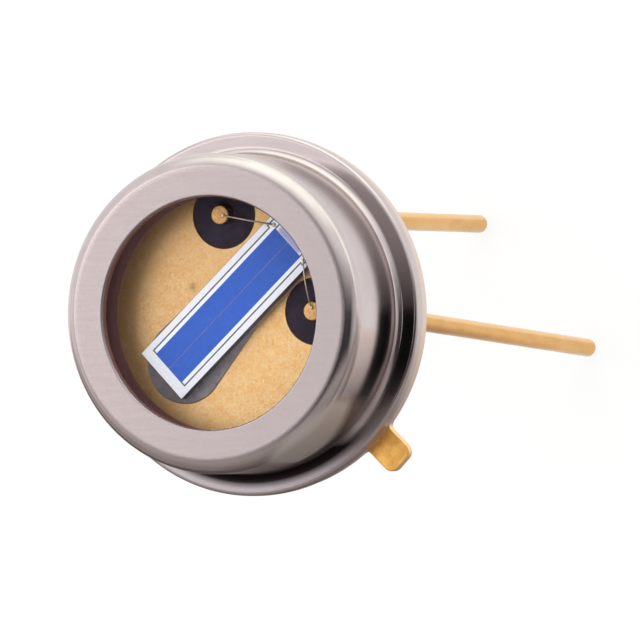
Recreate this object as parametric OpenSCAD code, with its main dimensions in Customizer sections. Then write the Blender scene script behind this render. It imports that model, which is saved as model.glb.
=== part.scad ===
// Two-segment position sensitive detector in a low metal can with a glass window.
// The optical axis is +Z. The origin is the centre of the header's underside, where it seats on a board.
// Angles are counted from +X: the leads stand at 0, 90 and 180 degrees.

/* [Can] */
// Outside diameter of the cap's wall
cap_d = 8.25; // [7.9:0.05:8.6]
// Height of the cap, from its flange's underside to its front face
cap_h = 3; // [2.5:0.05:4.5]
// Sheet thickness of the cap
cap_wall = 0.25; // [0.15:0.01:0.3]
// Outer radius of the cap's shoulder
shoulder_r = 0.43; // [0.35:0.01:0.6]
// Diameter of the cap's round opening
opening_d = 6; // [5:0.1:6.4]
// Rounding of the opening's front edge
opening_round = 0.05; // [0.02:0.01:0.1]
// Width of the weld flange beyond the cap's wall
flange_w = 0.575; // [0.45:0.025:0.8]
// Thickness of the cap's flange
cap_flange_t = 0.5; // [0.35:0.05:0.7]
// Rounding of the flange's front rim
flange_round = 0.1; // [0.05:0.01:0.2]
// Fillet between the cap's wall and its flange
flange_fillet = 0.2; // [0.05:0.01:0.2]

/* [Window] */
// Thickness of the glass disc
window_t = 0.5; // [0.3:0.05:0.6]
// Rounding of the disc's inner edge
window_round = 0.1; // [0.02:0.01:0.15]
// Gap between the disc and the round inside the cap's shoulder
window_clearance = 0.04; // [0.02:0.01:0.2]

/* [Header] */
// Thickness of the header's flange
header_flange_t = 0.45; // [0.3:0.05:0.6]
// How far the cap's flange reaches past the header's flange
flange_overhang = 0.06; // [0:0.01:0.1]
// Rounding of the header flange's lower edge
header_round = 0.08; // [0.02:0.01:0.1]
// Height of the cavity between the platform's floor and the window
cavity_h = 0.85; // [0.75:0.05:1.3]
// Rounding of the platform's edge
platform_round = 0.5; // [0.1:0.05:0.55]
// Gap between the platform and the inside of the cap
platform_clearance = 0.175; // [0.05:0.025:0.2]
// Thickness of the locating tab
tab_t = 0.25; // [0.15:0.05:0.3]
// Width of the tab
tab_w = 0.85; // [0.6:0.05:1.1]
// Reach of the tab beyond the header's flange
tab_l = 0.93; // [0.5:0.01:1.2]
// Corner radius of the tab
tab_round = 0.2; // [0.05:0.05:0.25]
// Radius where the tab's sides run into the flange
tab_root = 0.15; // [0.05:0.01:0.3]
// Angle of the tab
tab_angle = -45; // [-60:1:-30]

/* [Leads] */
// Diameter of a lead
lead_d = 0.48; // [0.4:0.01:0.53]
// Diameter of the circle that the leads stand on
lead_circle_d = 5.08; // [4.8:0.02:5.3]
// Length of a lead below the header
lead_l = 14.6; // [6:0.1:38]
// Height of a lead's top above the floor
lead_rise = 0.44; // [0.3:0.02:0.5]
// Rounding of a lead's free end
lead_round = 0.15; // [0.02:0.01:0.18]
// Lean of the right lead below its bend
lean = 4.2; // [0:0.1:8]
// Direction of that lean
lean_heading = -57; // [-180:1:180]
// Bend radius at the lead's centre line
bend_r = 2; // [1:0.1:3]
// Straight run between the header and the bend
bend_drop = 0.2; // [0.2:0.1:2]
// How much the wire's radius is drawn thinner in its bend
bend_thin = 0.005; // [0.002:0.001:0.02]
// Radius of the weld fillet round the case lead
weld_fillet = 0.17; // [0.05:0.01:0.25]
// Depth of the recess that the case lead is welded into
weld_recess = 0.1; // [0.05:0.01:0.2]
// Gap between the weld fillet and the recess's wall
weld_clearance = 0.03; // [0.02:0.01:0.1]

/* [Glass seals] */
// Diameter of a glass seal
seal_d = 1.76; // [1.2:0.02:1.9]
// Depth of the glass below the header's faces
seal_recess = 0.06; // [0.02:0.01:0.15]
// Radius of the glass drawn up round the lead
seal_meniscus = 0.08; // [0.02:0.01:0.15]

/* [Chip] */
// Thickness of the silicon chip
die_t = 0.38; // [0.2:0.02:0.46]
// Angle of the chip's long side
die_turn = 42.7; // [40:0.1:50]
// Place of the chip's centre along X
die_x = 0.19; // [-0.1:0.01:0.2]
// Place of the chip's centre along Y
die_y = 0.2; // [-0.1:0.01:0.25]
// Thickness of the layers on the chip's face
film_t = 0.015; // [0.01:0.005:0.03]
// Inset of the pale frame from the chip's edge
frame_inset = 0.01; // [0.005:0.005:0.03]
// Width of the frame beyond the elements' ends
frame_end = 0.28; // [0.24:0.01:0.4]
// Width of the frame beside the elements
frame_side = 0.2; // [0.16:0.01:0.3]
// Length of a light-sensitive element
element_l = 4.66; // [4.2:0.02:4.8]
// Width of an element with its contact strip
element_w = 0.6; // [0.5:0.01:0.65]
// Gap between the two elements
element_gap = 0.02; // [0.01:0.005:0.05]
// Width of a contact strip
strip_w = 0.095; // [0.05:0.005:0.12]
// Bare line between the contacts and the frame
line_w = 0.04; // [0.02:0.005:0.05]
// Length of a bond pad
pad_l = 0.24; // [0.15:0.01:0.3]
// Width of a bond pad
pad_w = 0.17; // [0.13:0.01:0.18]
// Reach of a bond pad beyond the element's end
pad_reach = 0.15; // [0.08:0.01:0.16]

/* [Chip attach] */
// Thickness of the epoxy under the chip
attach_t = 0.05; // [0.02:0.01:0.08]
// Spread of the epoxy past the chip's edges
attach_edge = 0.04; // [0.03:0.01:0.08]
// Corner radius of the spread
attach_round = 0.12; // [0.08:0.02:0.3]
// Slope of the epoxy's edge, in from its foot to its top
attach_slope = 0.03; // [0.005:0.005:0.03]
// Radius of the drop squeezed out at the chip's lower end
drop_r = 1.08; // [0.9:0.02:1.3]
// Distance of the drop's centre from the chip's lower end
drop_in = 0.66; // [0.3:0.01:0.9]
// Distance of the drop's centre from the chip's middle, towards the right element
drop_aside = 0.13; // [0:0.01:0.2]
// Distance from the chip's lower end at which the drop has run out
drop_run = 2.9; // [1.5:0.1:4]

/* [Bond wires] */
// Diameter of a bond wire
wire_d = 0.04; // [0.025:0.005:0.05]
// Rise of a wire's arch above its feet
wire_rise = 0.18; // [0.1:0.01:0.2]
// Diameter of a wire's foot
foot_d = 0.11; // [0.08:0.01:0.13]
// Height of a wire's foot
foot_h = 0.05; // [0.05:0.005:0.07]
// Distance of a foot from the middle of its lead, towards the chip
foot_offset = 0.1; // [0:0.01:0.12]

/* [Hidden] */
$fn = 96;
// How far a cut runs past the faces that it goes through
cut_over = 1;
// How far, in degrees, the bend runs on inside the straight wire at both of its ends
bend_lap = 0.3;

cap_r = cap_d / 2;
cap_inner_r = cap_r - cap_wall;
shoulder_inner_r = shoulder_r - cap_wall;
flange_r = cap_r + flange_w;
opening_r = opening_d / 2;
cap_z = header_flange_t;
window_r = cap_inner_r - shoulder_inner_r - window_clearance;
window_z = cap_z + cap_h - cap_wall - window_t;
platform_r = cap_inner_r - platform_clearance;
platform_h = window_z - cavity_h;
header_r = flange_r - flange_overhang;

lead_r = lead_d / 2;
seal_r = seal_d / 2;
lead_top_z = platform_h + lead_rise;
bend_l = bend_r * lean * PI / 180;
lead_circle_r = lead_circle_d / 2;
TOP_LEAD = [0, lead_circle_r];
RIGHT_LEAD = [lead_circle_r, 0];
CASE_LEAD = [-lead_circle_r, 0];

half_span = element_gap / 2 + element_w;
die_l = element_l + 2 * (frame_end + frame_inset);
die_w = 2 * (half_span + frame_side + frame_inset);
die_z = platform_h + attach_t;
face_z = die_z + die_t;
contact_z = face_z + film_t;
strip_in = half_span - strip_w;
pad_from = element_l / 2 + pad_reach - pad_l;
PAD = [pad_from + pad_l / 2, strip_in + pad_w / 2];
// The left element lies on the positive side of the chip's long axis
LEFT = 1;
RIGHT = -1;

GOLD = [0.90, 0.71, 0.42];
NICKEL = [0.78, 0.74, 0.75];
GLASS = [0.85, 0.92, 0.95, 0.25];
SEAL = [0.10, 0.08, 0.14];
SILICON = [0.36, 0.36, 0.40];
FRAME = [0.88, 0.87, 0.94];
BLUE = [0.25, 0.41, 0.80];
BRIGHT = [0.96, 0.97, 0.98];
EPOXY = [0.43, 0.43, 0.46];
WIRE = [0.80, 0.74, 0.62];

// A half section from the axis outwards, with its outer top corner rounded
module rounded_section(r, h, corner) {
    square([r - corner, h]);
    square([r, h - corner]);
    translate([r - corner, h - corner]) intersection() {
        circle(corner);
        square(corner);
    }
}

// A half section of the concave fillet that stands on height zero against a wall of radius r
module fillet_section(r, corner) {
    difference() {
        translate([r, 0]) square(corner);
        translate([r + corner, corner]) circle(corner);
    }
}

// The rectangle from one corner to the other
module box_between(from, to) {
    translate(from) square(to - from);
}

// Places its children on the chip, with the chip's long side along X
module on_chip(z) {
    translate([die_x, die_y, z]) rotate(die_turn) children();
}

// The place of a point on the chip, given along and across it
function chip_point(p) = [die_x + p[0] * cos(die_turn) - p[1] * sin(die_turn),
                          die_y + p[0] * sin(die_turn) + p[1] * cos(die_turn)];

// Flange, raised platform and thinner locating tab, stamped in one piece,
// with a hole for each sealed lead and a shallow recess for the case lead's weld
module header() {
    color(GOLD) difference() {
        union() {
            rotate_extrude() {
                translate([0, header_flange_t]) mirror([0, 1])
                    rounded_section(header_r, header_flange_t, header_round);
                rounded_section(platform_r, platform_h, platform_round);
            }
            rotate(tab_angle) linear_extrude(tab_t) tab_outline();
        }
        for (p = [TOP_LEAD, RIGHT_LEAD])
            translate([p[0], p[1], -cut_over]) cylinder(r = seal_r, h = platform_h + 2 * cut_over);
        translate([CASE_LEAD[0], CASE_LEAD[1], -cut_over])
            cylinder(r = lead_r + weld_fillet + weld_clearance, h = weld_recess + cut_over);
    }
}

// The tab points along X, and its root runs back into the flange
module tab_outline() {
    end = header_r + tab_l;
    root = header_r - tab_w;
    box_between([root, -tab_w / 2], [end - tab_round, tab_w / 2]);
    box_between([root, tab_round - tab_w / 2], [end, tab_w / 2 - tab_round]);
    for (side = [-1, 1])
        translate([end - tab_round, side * (tab_w / 2 - tab_round)]) circle(tab_round);
    for (side = [0, 1])
        mirror([0, side]) tab_root_outline(root);
}

// The concave corner beside the tab, round a circle that touches the flange and the tab's side
module tab_root_outline(root) {
    y = tab_w / 2 + tab_root;
    x = sqrt(pow(header_r + tab_root, 2) - y * y);
    touch_y = y * header_r / (header_r + tab_root);
    difference() {
        box_between([root, 0], [x, touch_y]);
        translate([x, y]) circle(tab_root);
    }
}

// Drawn can: flange, straight wall, round shoulder and an opening in the face
module cap() {
    color(NICKEL) translate([0, 0, cap_z]) rotate_extrude() difference() {
        union() {
            rounded_section(flange_r, cap_flange_t, flange_round);
            rounded_section(cap_r, cap_h, shoulder_r);
            translate([0, cap_flange_t]) fillet_section(cap_r, flange_fillet);
        }
        rounded_section(cap_inner_r, cap_h - cap_wall, shoulder_inner_r);
        square([opening_r, cap_h]);
        translate([0, cap_h]) mirror([0, 1]) fillet_section(opening_r, opening_round);
    }
}

// Glass disc against the inside of the cap's face, with its round edge inwards
module window() {
    color(GLASS) translate([0, 0, window_z + window_t]) mirror([0, 0, 1])
        rotate_extrude() rounded_section(window_r, window_t, window_round);
}

// Glass ring that holds a lead in its hole, drawn up round the lead on top
module seal(p) {
    glass_h = platform_h - 2 * seal_recess;
    color(SEAL) translate([p[0], p[1], seal_recess]) rotate_extrude() {
        translate([lead_r, 0]) square([seal_r - lead_r, glass_h]);
        translate([0, glass_h]) fillet_section(lead_r, seal_meniscus);
    }
}

module top_seal() {
    seal(TOP_LEAD);
}

module right_seal() {
    seal(RIGHT_LEAD);
}

// Straight wire that hangs down from height zero, with a round free end
module wire_down(length) {
    mirror([0, 0, 1]) rotate_extrude() rounded_section(lead_r, length, lead_round);
}

// Sealed lead: up through the header, and below it straight or leaning after a bend
module sealed_lead(p, angle, heading) {
    arc = angle == 0 ? 0 : bend_l;
    translate([p[0], p[1], -bend_drop]) rotate(heading) {
        cylinder(r = lead_r, h = lead_top_z + bend_drop);
        if (angle > 0)
            translate([bend_r, 0, 0]) rotate([90, 0, 0]) rotate(180 - bend_lap)
                rotate_extrude(angle = angle + 2 * bend_lap)
                    translate([bend_r, 0]) circle(lead_r - bend_thin);
        translate([bend_r, 0, 0]) rotate([0, -angle, 0]) translate([-bend_r, 0, 0])
            wire_down(lead_l - bend_drop - arc);
    }
}

module top_lead() {
    color(GOLD) sealed_lead(TOP_LEAD, 0, 0);
}

module right_lead() {
    color(GOLD) sealed_lead(RIGHT_LEAD, lean, lean_heading);
}

// Lead welded into the recess in the header's underside
module case_lead() {
    color(GOLD) translate([CASE_LEAD[0], CASE_LEAD[1], weld_recess]) {
        wire_down(weld_recess + lead_l);
        mirror([0, 0, 1]) rotate_extrude() fillet_section(lead_r, weld_fillet);
    }
}

// A low drop with a sloped edge
module drop(r) {
    cylinder(r1 = r, r2 = r - attach_slope, h = attach_t, $fn = r > attach_round ? 64 : 32);
}

// Epoxy under the chip, with a round drop squeezed out at its lower end
module die_attach() {
    end = die_l / 2 + attach_edge - attach_round;
    side = die_w / 2 + attach_edge - attach_round;
    color(EPOXY) on_chip(platform_h) {
        hull()
            for (u = [-end, end], v = [-side, side])
                translate([u, v]) drop(attach_round);
        hull() {
            translate([drop_in - die_l / 2, -drop_aside]) drop(drop_r);
            for (v = [-side, side])
                translate([drop_run - die_l / 2, v]) drop(attach_round);
        }
    }
}

module die() {
    color(SILICON) on_chip(die_z) translate([-die_l / 2, -die_w / 2, 0]) cube([die_l, die_w, die_t]);
}

// Pale frame round the elements, open round the contact strips and their pads
module guard_frame() {
    color(FRAME) on_chip(face_z) linear_extrude(film_t) difference() {
        square([die_l - 2 * frame_inset, die_w - 2 * frame_inset], center = true);
        square([element_l, 2 * (half_span + line_w)], center = true);
        for (side = [LEFT, RIGHT])
            mirror([0, side == LEFT ? 0 : 1])
                box_between([pad_from - line_w, strip_in - line_w],
                            [pad_from + pad_l + line_w, strip_in + pad_w + line_w]);
    }
}

module element(side) {
    color(BLUE) on_chip(face_z) linear_extrude(film_t) mirror([0, side == LEFT ? 0 : 1])
        box_between([-element_l / 2, element_gap / 2], [element_l / 2, strip_in]);
}

module left_element() {
    element(LEFT);
}

module right_element() {
    element(RIGHT);
}

// Metal strip along an element's outer side, with a bond pad at its upper end
module contact(side) {
    color(BRIGHT) on_chip(face_z) linear_extrude(film_t) mirror([0, side == LEFT ? 0 : 1]) {
        box_between([-element_l / 2 + line_w, strip_in], [element_l / 2, half_span]);
        box_between([pad_from, strip_in], [pad_from + pad_l, strip_in + pad_w]);
    }
}

module left_contact() {
    contact(LEFT);
}

module right_contact() {
    contact(RIGHT);
}

// Wire that arches from a lead's top to a bond pad, with a flat round foot at each end
module bond_wire(lead, side) {
    pad = chip_point([PAD[0], side * PAD[1]]);
    towards = (pad - lead) / norm(pad - lead);
    start = lead + foot_offset * towards;
    from = [start[0], start[1], lead_top_z + foot_h / 2];
    to = [pad[0], pad[1], contact_z + foot_h / 2];
    span = norm(to - from);
    arch_r = (span * span / 4 + wire_rise * wire_rise) / (2 * wire_rise);
    half_angle = asin(span / 2 / arch_r);
    pitch = asin((to[2] - from[2]) / span);
    color(WIRE) {
        for (p = [from, to])
            translate([p[0], p[1], p[2] - foot_h / 2]) cylinder(d = foot_d, h = foot_h);
        translate((from + to) / 2) rotate([0, -pitch, atan2(towards[1], towards[0])])
            translate([0, 0, wire_rise - arch_r]) rotate([90, 0, 0]) rotate(90 - half_angle)
                rotate_extrude(angle = 2 * half_angle) translate([arch_r, 0]) circle(d = wire_d);
    }
}

module left_wire() {
    bond_wire(TOP_LEAD, LEFT);
}

module right_wire() {
    bond_wire(RIGHT_LEAD, RIGHT);
}

header();
cap();
window();
top_seal();
right_seal();
top_lead();
right_lead();
case_lead();
die_attach();
die();
guard_frame();
left_element();
right_element();
left_contact();
right_contact();
left_wire();
right_wire();
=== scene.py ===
import math

import bmesh
import bpy
from mathutils import Matrix, Vector


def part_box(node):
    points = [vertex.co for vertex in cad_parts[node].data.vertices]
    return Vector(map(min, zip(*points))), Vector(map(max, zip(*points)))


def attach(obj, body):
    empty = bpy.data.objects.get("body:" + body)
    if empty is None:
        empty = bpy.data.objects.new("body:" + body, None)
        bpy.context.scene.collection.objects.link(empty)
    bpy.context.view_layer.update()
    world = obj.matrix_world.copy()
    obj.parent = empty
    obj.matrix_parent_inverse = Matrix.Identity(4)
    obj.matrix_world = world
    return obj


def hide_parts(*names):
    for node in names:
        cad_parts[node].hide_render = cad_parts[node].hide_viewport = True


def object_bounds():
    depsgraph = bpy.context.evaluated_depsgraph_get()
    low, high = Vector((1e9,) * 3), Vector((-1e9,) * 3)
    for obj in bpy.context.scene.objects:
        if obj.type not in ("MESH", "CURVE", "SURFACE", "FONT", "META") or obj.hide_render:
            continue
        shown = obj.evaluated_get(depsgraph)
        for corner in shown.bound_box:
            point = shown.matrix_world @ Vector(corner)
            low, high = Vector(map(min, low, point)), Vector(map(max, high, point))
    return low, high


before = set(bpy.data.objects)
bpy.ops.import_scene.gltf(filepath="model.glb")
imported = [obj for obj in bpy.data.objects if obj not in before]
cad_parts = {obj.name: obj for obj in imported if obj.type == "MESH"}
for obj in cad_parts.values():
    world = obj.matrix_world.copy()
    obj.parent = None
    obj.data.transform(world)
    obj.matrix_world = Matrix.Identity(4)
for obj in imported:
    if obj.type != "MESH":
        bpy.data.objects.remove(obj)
CAD_LOW, CAD_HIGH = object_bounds()

# Sizes are in millimetres, and meshes are scaled to metres when they become objects
MM = 0.001


def node_box(node):
    """Lowest and highest corner of a CAD node, in millimetres."""
    low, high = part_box(node)
    return low / MM, high / MM


# Sizes read from the frame
CAP_LOW, CAP_HIGH = node_box("cap")
WINDOW_LOW, WINDOW_HIGH = node_box("window")
SEAL_LOW, SEAL_HIGH = node_box("top_seal")
LEAD_LOW, LEAD_HIGH = node_box("top_lead")
CASE_LOW, CASE_HIGH = node_box("case_lead")
HEADER_HIGH = node_box("header")[1]
ATTACH_HIGH = node_box("die_attach")[1]
FRAME_HIGH = node_box("guard_frame")[1]
FLANGE_R = CAP_HIGH.x
HEADER_R = HEADER_HIGH.x
FACE_Z = CAP_HIGH.z
CAP_Z = CAP_LOW.z
FLOOR_Z = HEADER_HIGH.z
WINDOW_R = WINDOW_HIGH.x
LEAD_R = (LEAD_HIGH.x - LEAD_LOW.x) / 2
LEAD_CIRCLE_R = (LEAD_HIGH.y + LEAD_LOW.y) / 2
LEAD_TOP_Z = LEAD_HIGH.z
LEAD_TIP_Z = LEAD_LOW.z
SEAL_R = (SEAL_HIGH.x - SEAL_LOW.x) / 2
WELD_RECESS = CASE_HIGH.z
CHIP_FACE_Z = FRAME_HIGH.z
TOP_LEAD = (0.0, LEAD_CIRCLE_R)
RIGHT_LEAD = (LEAD_CIRCLE_R, 0.0)
CASE_LEAD = (-LEAD_CIRCLE_R, 0.0)

# Can, whose flange is thinner here than in the solids
CAP_R = 4.125
CAP_WALL = 0.25
SHOULDER_R = 0.43
OPENING_R = 3.0
OPENING_ROUND = 0.05
CAP_FLANGE_T = 0.37
FLANGE_Z = CAP_Z + CAP_FLANGE_T
FLANGE_ROUND = 0.1
FLANGE_FILLET = 0.2
WALL_LOW_Z = FLANGE_Z + FLANGE_FILLET
WINDOW_ROUND = 0.1
WINDOW_GAP = 0.003

# Header, whose tab has rounder corners here than in the solids
HEADER_ROUND = 0.08
PLATFORM_R = 3.7
PLATFORM_ROUND = 0.5
PLATFORM_ROOT_Z = 0.12
EDGE_ROUND = 0.03
TAB_T = 0.25
TAB_W = 0.85
TAB_L = 0.93
TAB_ROUND = 0.25
TAB_ROOT = 0.15
TAB_ANGLE = math.radians(-45)
CUT_OVER = 1.0

# Leads and their seals
LEAD_ROUND = 0.15
LEAD_TOP_ROUND = 0.03
LEAN = math.radians(4.2)
LEAN_HEADING = math.radians(-57)
BEND_R = 2.0
BEND_DROP = 0.2
WELD_FILLET = 0.17
WELD_CLEARANCE = 0.03
SEAL_RECESS = 0.06
SEAL_MENISCUS = 0.08

# Chip and bond wires
CHIP_CENTRE = Vector((0.19, 0.2, 0.0))
CHIP_TURN = math.radians(42.7)
PAD_ALONG = 2.36
PAD_ACROSS = 0.6
ELEMENT_L = 4.66
ELEMENT_GAP = 0.02
WIRE_R = 0.02
WIRE_RISE = 0.18
FOOT_R = 0.055
FOOT_H = 0.05
FOOT_ROUND = 0.0225
FOOT_OFFSET = 0.1

# Mesh steps
TURN_STEPS = 256
SMALL_TURN_STEPS = 96
LEAD_STEPS = 64
CARD_STEPS = 48
FOOT_STEPS = 32
WIRE_STEPS = 16
ARC_STEPS = 16
SMALL_ARC_STEPS = 6
EDGE_STEPS = 4
SUPPORT = 0.012
SHARP_ANGLE = math.radians(32)

# View of the photo: the camera lies on its side, with the +Y lead at the top
VIEW_FIELD = math.radians(3.0)
VIEW_AZIMUTH = math.radians(87.734)
VIEW_ELEVATION = math.radians(66.315)
VIEW_ROLL = math.radians(-89.06)
VIEW_DISTANCE = 316.17
VIEW_AIM = Vector((1.42, -0.18, -0.43))
CLIP_START = 0.01


# Mesh building

def arc(centre, radius, start, end, steps=ARC_STEPS):
    """Points on a circle in a plane, with angles in degrees from the first axis."""
    angles = [math.radians(start + (end - start) * i / steps) for i in range(steps + 1)]
    return [(centre[0] + radius * math.cos(a), centre[1] + radius * math.sin(a)) for a in angles]


def straight(start, end):
    """Two points just inside the ends of a straight stretch, which keep its shading flat."""
    share = SUPPORT / math.dist(start, end)
    return [tuple(a + (b - a) * t for a, b in zip(start, end)) for t in (share, 1 - share)]


def smooth_run(parts):
    """Chains stretches of points, with support points on each straight between them."""
    points = []
    for part in parts:
        if points:
            points += straight(points[-1], part[0])
        points += part
    return points


def full_turn(steps):
    """Angles of evenly spaced steps round a circle."""
    return [2 * math.pi * i / steps for i in range(steps)]


def skin(rings, loop=False):
    """A closed mesh over rings of equal length: ends filled, or the last ring joined to the first."""
    bm = bmesh.new()
    made = [[bm.verts.new(p) for p in ring] for ring in rings]
    pairs = list(zip(made, made[1:]))
    if loop:
        pairs.append((made[-1], made[0]))
    for low, high in pairs:
        for i in range(len(low)):
            j = (i + 1) % len(low)
            bm.faces.new((low[i], low[j], high[j], high[i]))
    if not loop:
        bm.faces.new(list(reversed(made[0])))
        bm.faces.new(made[-1])
    bmesh.ops.recalc_face_normals(bm, faces=bm.faces)
    return bm


def lathe(profile, steps=TURN_STEPS, loop=False, place=(0.0, 0.0)):
    """Turns a profile of (radius, height) points about an upright axis."""
    x, y = place
    turns = full_turn(steps)
    rings = [[(x + r * math.cos(a), y + r * math.sin(a), z) for a in turns] for r, z in profile]
    return skin(rings, loop)


def sweep(path, radii, side, steps):
    """A round rod along a path of points that lie in the plane square to side."""
    rings = []
    for i, (point, radius) in enumerate(zip(path, radii)):
        along = (path[min(i + 1, len(path) - 1)] - path[max(i - 1, 0)]).normalized()
        across = side.cross(along).normalized()
        ring = [point + radius * (math.cos(a) * side + math.sin(a) * across) for a in full_turn(steps)]
        rings.append(ring)
    return skin(rings)


def joined(parts):
    """One mesh that holds several."""
    whole = bmesh.new()
    for part in parts:
        held = bpy.data.meshes.new("held")
        part.to_mesh(held)
        part.free()
        whole.from_mesh(held)
        bpy.data.meshes.remove(held)
    return whole


def soften(mesh):
    """Shades a mesh smooth, except where its faces meet at a clear edge."""
    mesh.shade_smooth()
    mesh.set_sharp_from_angle(angle=SHARP_ANGLE)
    return mesh


def to_mesh(name, bm):
    """A shaded mesh in metres."""
    bmesh.ops.transform(bm, matrix=Matrix.Scale(MM, 4), verts=bm.verts)
    mesh = bpy.data.meshes.new(name)
    bm.to_mesh(mesh)
    bm.free()
    return soften(mesh)


def linked(name, data):
    """A new object in the scene."""
    obj = bpy.data.objects.new(name, data)
    bpy.context.scene.collection.objects.link(obj)
    return obj


def combine(name, bm, others):
    """A mesh after union or difference with other meshes, in order."""
    base = linked(name, to_mesh(name, bm))
    tools = []
    for operation, other in others:
        tool = linked("tool", to_mesh("tool", other))
        modifier = base.modifiers.new(operation, "BOOLEAN")
        modifier.operation = operation
        modifier.solver = "EXACT"
        modifier.object = tool
        tools.append(tool)
    graph = bpy.context.evaluated_depsgraph_get()
    mesh = bpy.data.meshes.new_from_object(base.evaluated_get(graph))
    for leftover in [base, *tools]:
        held = leftover.data
        bpy.data.objects.remove(leftover)
        bpy.data.meshes.remove(held)
    return soften(mesh)


def piece(name, mesh, material, slot, *nodes):
    """Shows a mesh in place of CAD nodes."""
    mesh.materials.clear()
    mesh.materials.append(material)
    obj = linked(name, mesh)
    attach(obj, "root")
    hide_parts(*nodes)
    return obj


# Node trees

NOISE_LOW = 0.3
NOISE_HIGH = 0.7


class Shader:
    """A node tree with short calls for the nodes that the materials here use."""

    def __init__(self, name):
        self.material = bpy.data.materials.new(name)
        self.material.use_nodes = True
        self.tree = self.material.node_tree
        self.tree.nodes.clear()
        self.output = self.tree.nodes.new("ShaderNodeOutputMaterial")

    def put(self, socket, value):
        """Links a socket to another, or sets its value."""
        if isinstance(value, bpy.types.NodeSocket):
            self.tree.links.new(value, socket)
        else:
            socket.default_value = value

    def node(self, kind, settings=None, **inputs):
        """A node with its inputs set by name."""
        made = self.tree.nodes.new(kind)
        for key, value in (settings or {}).items():
            setattr(made, key, value)
        for key, value in inputs.items():
            self.put(made.inputs[key.replace("_", " ")], value)
        return made

    def ordered(self, kind, settings, *values):
        """A node with its first inputs set in order."""
        made = self.node(kind, settings)
        for socket, value in zip(made.inputs, values):
            self.put(socket, value)
        return made

    def place(self, scale=(1.0, 1.0, 1.0)):
        """Position on the part in millimetres, stretched by scale."""
        where = self.node("ShaderNodeTexCoord").outputs["Object"]
        factor = tuple(s / MM for s in scale)
        return self.node("ShaderNodeMapping", Vector=where, Scale=factor).outputs["Vector"]

    def on_chip(self):
        """Position along and across the chip, in millimetres from its centre."""
        turned = self.node("ShaderNodeMapping", {"vector_type": "TEXTURE"}, Vector=self.place(),
                           Location=CHIP_CENTRE, Rotation=(0.0, 0.0, CHIP_TURN))
        return turned.outputs["Vector"]

    def axis(self, vector, name):
        """One of a vector's coordinates."""
        return self.node("ShaderNodeSeparateXYZ", Vector=vector).outputs[name]

    def facing(self, name):
        """How far the surface faces along an axis of the part."""
        return self.axis(self.node("ShaderNodeTexCoord").outputs["Normal"], name)

    def vector(self, operation, *values):
        """Outputs of a vector operation."""
        return self.ordered("ShaderNodeVectorMath", {"operation": operation}, *values).outputs

    def axle(self, vector):
        """Distance from the part's axis."""
        level = self.vector("MULTIPLY", vector, (1.0, 1.0, 0.0))["Vector"]
        return self.vector("LENGTH", level)["Value"]

    def moved(self, vector, centre):
        """Position counted from another centre."""
        return self.vector("SUBTRACT", vector, centre)["Vector"]

    def along(self, vector, way):
        """Distance along a way."""
        return self.vector("DOT_PRODUCT", vector, way)["Value"]

    def noise(self, vector, scale, detail=3.0, rough=0.55):
        """Cloudy noise about 0.5."""
        made = self.node("ShaderNodeTexNoise", Vector=vector, Scale=scale, Detail=detail, Roughness=rough)
        return made.outputs["Fac"]

    def span(self, value, low, high, to_low=0.0, to_high=1.0):
        """Maps low to high onto another span, and holds it at the ends."""
        made = self.node("ShaderNodeMapRange", Value=value, From_Min=low, From_Max=high,
                         To_Min=to_low, To_Max=to_high)
        return made.outputs["Result"]

    def below(self, value, full, none):
        """1 up to full, falling to 0 at none."""
        return self.span(value, full, none, 1.0, 0.0)

    def spread(self, noise, to_low=0.0, to_high=1.0):
        """Maps the usual span of a noise onto another."""
        return self.span(noise, NOISE_LOW, NOISE_HIGH, to_low, to_high)

    def math(self, operation, first, second=0.0):
        return self.ordered("ShaderNodeMath", {"operation": operation}, first, second).outputs["Value"]

    def both(self, first, second):
        """Product of two shares, full only where both are."""
        return self.math("MULTIPLY", first, second)

    def most(self, first, second):
        """The larger of two values."""
        return self.math("MAXIMUM", first, second)

    def mix(self, share, first, second):
        """A colour that turns from first to second by share."""
        made = self.node("ShaderNodeMix", {"data_type": "RGBA"})
        self.put(made.inputs[0], share)
        self.put(made.inputs[6], first)
        self.put(made.inputs[7], second)
        return made.outputs[2]

    def bump(self, height, depth, strength=1.0):
        """Depth is the height of the relief in millimetres."""
        made = self.node("ShaderNodeBump", Height=height, Strength=strength, Distance=depth * MM)
        return made.outputs["Normal"]

    def surface(self, **inputs):
        return self.node("ShaderNodeBsdfPrincipled", **inputs).outputs["BSDF"]

    def glow(self, tone, strength=1.0):
        return self.node("ShaderNodeEmission", Color=tone, Strength=strength).outputs["Emission"]

    def layers(self, share, first, second):
        """A shader that turns from first to second by share."""
        return self.ordered("ShaderNodeMixShader", None, share, first, second).outputs["Shader"]

    def finish(self, shader):
        """The material, with its shader in place."""
        self.tree.links.new(shader, self.output.inputs["Surface"])
        return self.material


def colour(red, green, blue):
    """A colour written as linear light."""
    return (red, green, blue, 1.0)


def level_way(degrees):
    """A level direction, turned from +X towards +Y."""
    angle = math.radians(degrees)
    return (math.cos(angle), math.sin(angle), 0.0)


# Nickel of the cap

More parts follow.
